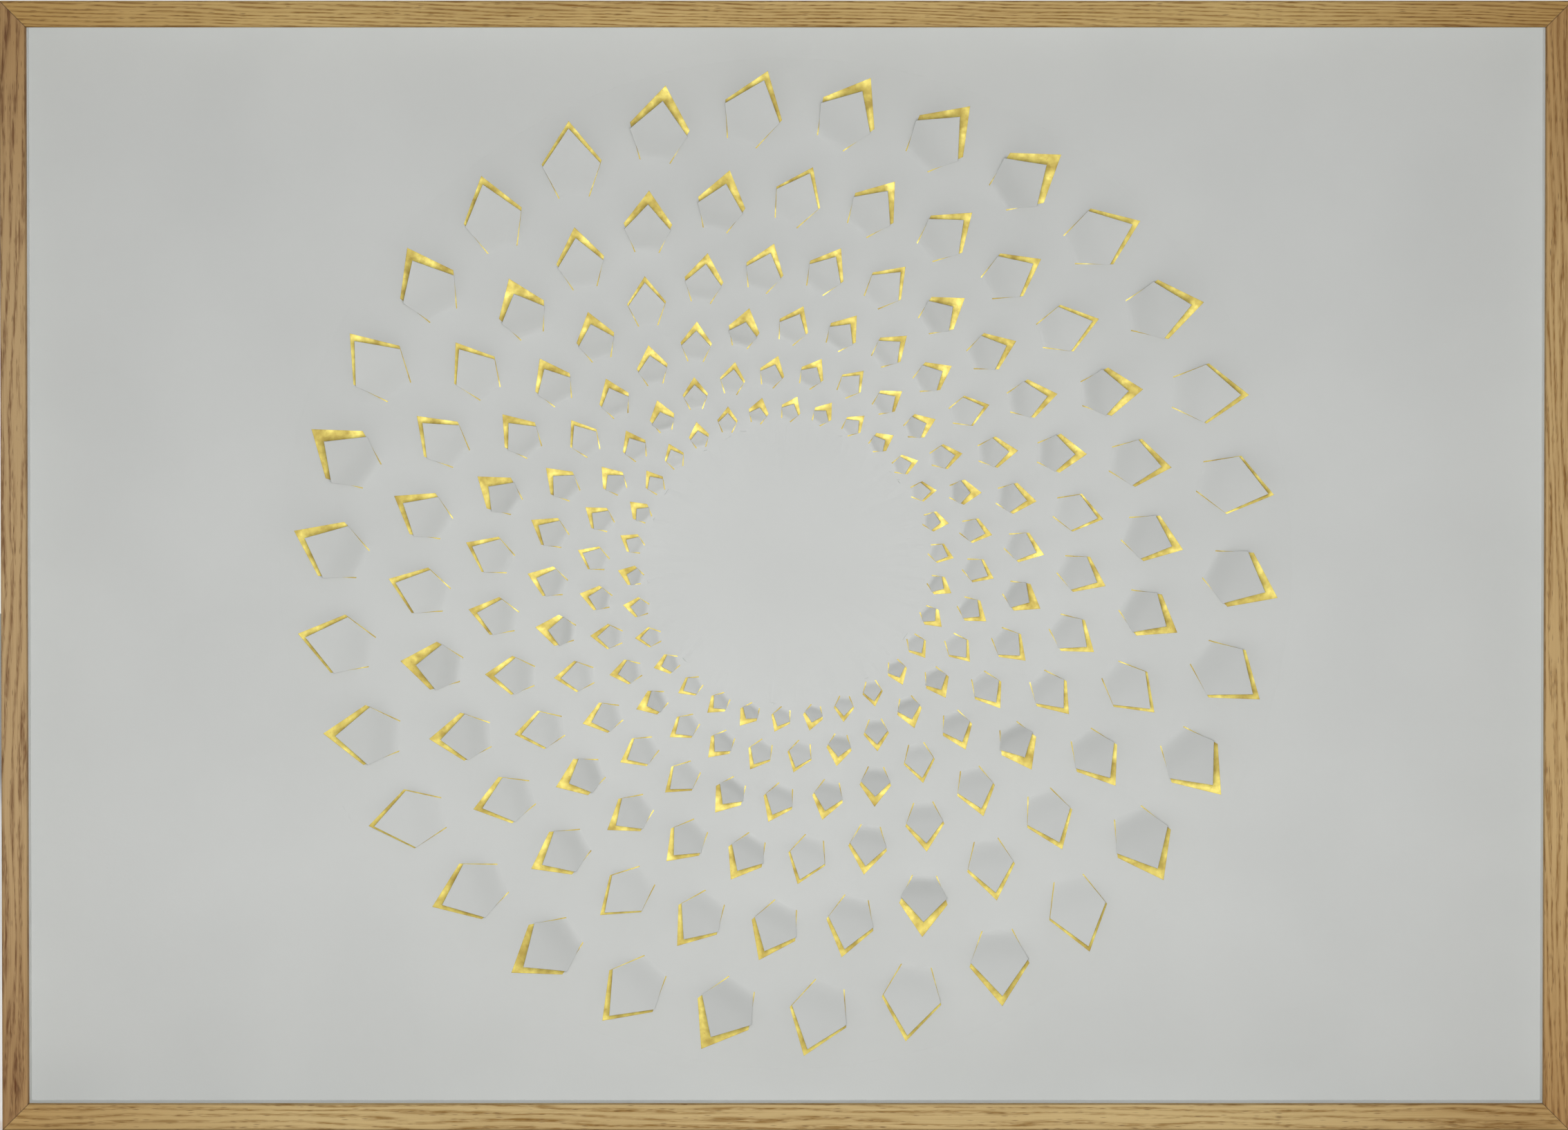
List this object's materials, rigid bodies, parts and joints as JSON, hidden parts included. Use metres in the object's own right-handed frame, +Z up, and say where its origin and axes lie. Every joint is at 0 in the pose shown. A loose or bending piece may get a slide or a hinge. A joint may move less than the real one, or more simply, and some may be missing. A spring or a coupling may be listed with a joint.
{
  "type": "framed cut-paper relief",
  "caption": "Deep mitred oak frame with a glazed white sheet whose pointed leaves are cut and lifted over a gilded card, for a wall or a shelf.",
  "frame": {"origin": "middle of the surface that the frame stands on, halfway between its front and the rear of its pads", "axes": "+X to the viewer's right, +Y into the picture toward the wall, +Z up"},
  "size_m": [0.713, 0.047, 0.513],
  "materials": {
    "oak": "clear oiled, straight grained",
    "nail_steel": "bare rolled steel",
    "pane": "clear, low reflection",
    "spacer_white": "matt white",
    "white_paper": "heavy matt paper",
    "gilding": "soft leaf gilding on card",
    "foam_board": "white board",
    "fibreboard": "bare fibreboard",
    "hanger_steel": "zinc plated",
    "felt": "brown felt"
  },
  "bodies": {
    "root": {"rail_bottom": "oak", "rail_top": "oak", "rail_left": "oak", "rail_right": "oak", "corner_nails": "nail_steel", "glazing": "pane", "spacer_bottom": "spacer_white", "spacer_top": "spacer_white", "spacer_left": "spacer_white", "spacer_right": "spacer_white", "cut_sheet": "white_paper", "gold_sheet": "gilding", "mount_board": "foam_board", "back_board": "fibreboard", "framers_points": "nail_steel", "hanger_left": "hanger_steel", "hanger_right": "hanger_steel", "hanger_rivets": "hanger_steel", "pad_left": "felt", "pad_right": "felt"}
  },
  "joints": []
}
